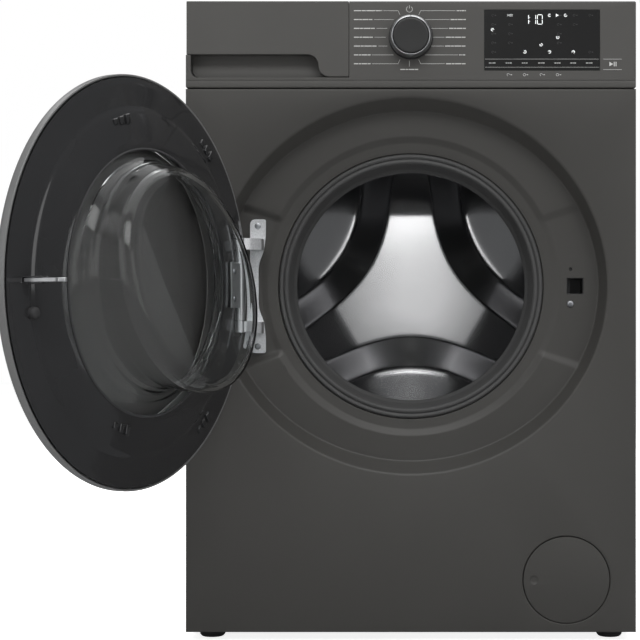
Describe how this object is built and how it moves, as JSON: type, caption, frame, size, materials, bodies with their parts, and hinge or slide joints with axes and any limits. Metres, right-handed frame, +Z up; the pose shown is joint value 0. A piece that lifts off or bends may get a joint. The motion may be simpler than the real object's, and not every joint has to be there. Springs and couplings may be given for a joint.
{
  "type": "front load washing machine",
  "caption": "Free-standing front loader with a round glass door on a side hinge, a detergent drawer, a programme knob and a belt-driven drum in a sprung tub.",
  "frame": {"origin": "centre of the base tray's underside, 12 mm above the floor that the feet stand on", "axes": "+X to the right, +Y to the back, +Z up; the door is on the -Y side"},
  "size_m": [0.7483, 1.0142, 0.85],
  "materials": {
    "graphite_paint": "satin graphite paint on sheet steel",
    "console_plastic": "fine-grained graphite moulding",
    "drawer_plastic": "fine-grained graphite moulding",
    "black_plastic": "semi-matt black moulding",
    "gloss_black": "polished black",
    "glass": "clear pressed glass",
    "grey_rubber": "matt grey rubber",
    "black_rubber": "matt black rubber",
    "stainless": "bright pressed stainless steel",
    "zinc": "zinc-plated steel",
    "cast_aluminium": "as-cast aluminium",
    "tub_plastic": "light grey filled polypropylene",
    "concrete": "cast concrete",
    "white_plastic": "white moulding",
    "circuit_board": "green solder mask",
    "satin_ring": "satin metallised",
    "galvanised": "graphite-painted sheet steel"
  },
  "bodies": {
    "cabinet": {"cabinet_shell": "galvanised", "front_panel": "graphite_paint", "base_tray": "black_plastic", "worktop": "console_plastic", "rear_cover": "galvanised", "cord_gland": "black_rubber", "control_panel": "console_plastic", "dispenser_housing": "white_plastic", "display_window": "gloss_black", "display_board": "circuit_board", "door_lock": "black_plastic", "hinge_bracket": "cast_aluminium", "inlet_valve": "white_plastic", "pump_housing": "white_plastic", "control_module": "white_plastic", "door_seal": "grey_rubber", "door_seal_clamp": "zinc", "damper_cylinder_left": "black_plastic", "damper_cylinder_right": "black_plastic", "tub_spring_left": "zinc", "tub_spring_right": "zinc"},
    "tub": {"tub_front": "tub_plastic", "tub_rear": "tub_plastic", "front_counterweight": "concrete", "top_counterweight": "concrete", "front_bearing": "zinc", "rear_bearing": "zinc", "shaft_seal": "black_rubber", "motor_housing": "cast_aluminium", "heater": "stainless", "damper_rod_left": "zinc", "damper_rod_right": "zinc", "dispenser_hose": "black_rubber", "sump_hose": "black_rubber", "drive_belt": "black_rubber"},
    "drum": {"drum_shell": "stainless", "drum_back": "stainless", "drum_lifter_1": "tub_plastic", "drum_lifter_2": "tub_plastic", "drum_lifter_3": "tub_plastic", "drum_spider": "cast_aluminium", "drum_pulley": "cast_aluminium"},
    "motor_rotor": {"motor_pulley": "zinc"},
    "door": {"door_outer_ring": "gloss_black", "door_inner_frame": "black_plastic", "door_glass": "glass", "door_window": "gloss_black", "door_hinge_arm": "cast_aluminium"},
    "hook": {"door_hook": "zinc"},
    "drawer": {"drawer_front": "drawer_plastic", "drawer_tray": "white_plastic"},
    "knob": {"knob_body": "black_plastic", "knob_ring": "satin_ring"},
    "flap": {"service_flap": "graphite_paint"},
    "filter": {"pump_filter": "black_plastic"},
    "impeller": {"pump_impeller": "black_plastic"},
    "front_left_foot": {"foot_front_left": "black_plastic"},
    "front_right_foot": {"foot_front_right": "black_plastic"},
    "rear_left_foot": {"foot_rear_left": "black_plastic"},
    "rear_right_foot": {"foot_rear_right": "black_plastic"}
  },
  "joints": [
    {"name": "door_swing", "type": "hinge", "parent": "cabinet", "child": "door", "pos_m": [-0.2265, -0.2885, 0.46], "axis": [0, 0, -1], "range_deg": [-116, 2]},
    {"name": "hook_turn", "type": "hinge", "parent": "door", "child": "hook", "pos_m": [-0.41369, -0.68941, 0.46], "axis": [0, 0, 1], "range_deg": [-5, 5], "stiffness_Nm_per_rad": 0.4},
    {"name": "drawer_slide", "type": "slide", "parent": "cabinet", "child": "drawer", "axis": [0, -1, 0], "range_m": [0, 0.18]},
    {"name": "knob_turn", "type": "hinge", "parent": "cabinet", "child": "knob", "pos_m": [0, -0.28, 0.79], "axis": [0, 1, 0], "continuous": true},
    {"name": "flap_swing", "type": "hinge", "parent": "cabinet", "child": "flap", "pos_m": [0.2634, -0.28, 0.0696], "axis": [0, 0, 1], "range_deg": [0, 100]},
    {"name": "filter_turn", "type": "hinge", "parent": "cabinet", "child": "filter", "pos_m": [0.2066, -0.2605, 0.0696], "axis": [0, -1, 0], "range_deg": [0, 90]},
    {"name": "impeller_spin", "type": "hinge", "parent": "cabinet", "child": "impeller", "pos_m": [0.2066, -0.1265, 0.0696], "axis": [0, 1, 0], "continuous": true},
    {"name": "tub_bounce", "type": "slide", "parent": "cabinet", "child": "tub", "axis": [0, 0, 1], "range_m": [-0.006, 0.006], "stiffness_N_per_m": 16000, "springref_m": 0.01262, "deforming": ["tub_spring_left", "tub_spring_right"]},
    {"name": "drum_spin", "type": "hinge", "parent": "tub", "child": "drum", "pos_m": [0, 0, 0.46], "axis": [0, 1, 0], "continuous": true},
    {"name": "motor_spin", "type": "hinge", "parent": "tub", "child": "motor_rotor", "pos_m": [-0.08, 0.2305, 0.15], "axis": [0, 1, 0], "continuous": true},
    {"name": "front_left_foot_height", "type": "slide", "parent": "cabinet", "child": "front_left_foot", "axis": [0, 0, -1], "range_m": [0, 0.015]},
    {"name": "front_right_foot_height", "type": "slide", "parent": "cabinet", "child": "front_right_foot", "axis": [0, 0, -1], "range_m": [0, 0.015]},
    {"name": "rear_left_foot_height", "type": "slide", "parent": "cabinet", "child": "rear_left_foot", "axis": [0, 0, -1], "range_m": [0, 0.015]},
    {"name": "rear_right_foot_height", "type": "slide", "parent": "cabinet", "child": "rear_right_foot", "axis": [0, 0, -1], "range_m": [0, 0.015]}
  ],
  "couplings": [
    {"joint": "motor_spin", "follows": "drum_spin", "ratio": 14.286}
  ]
}
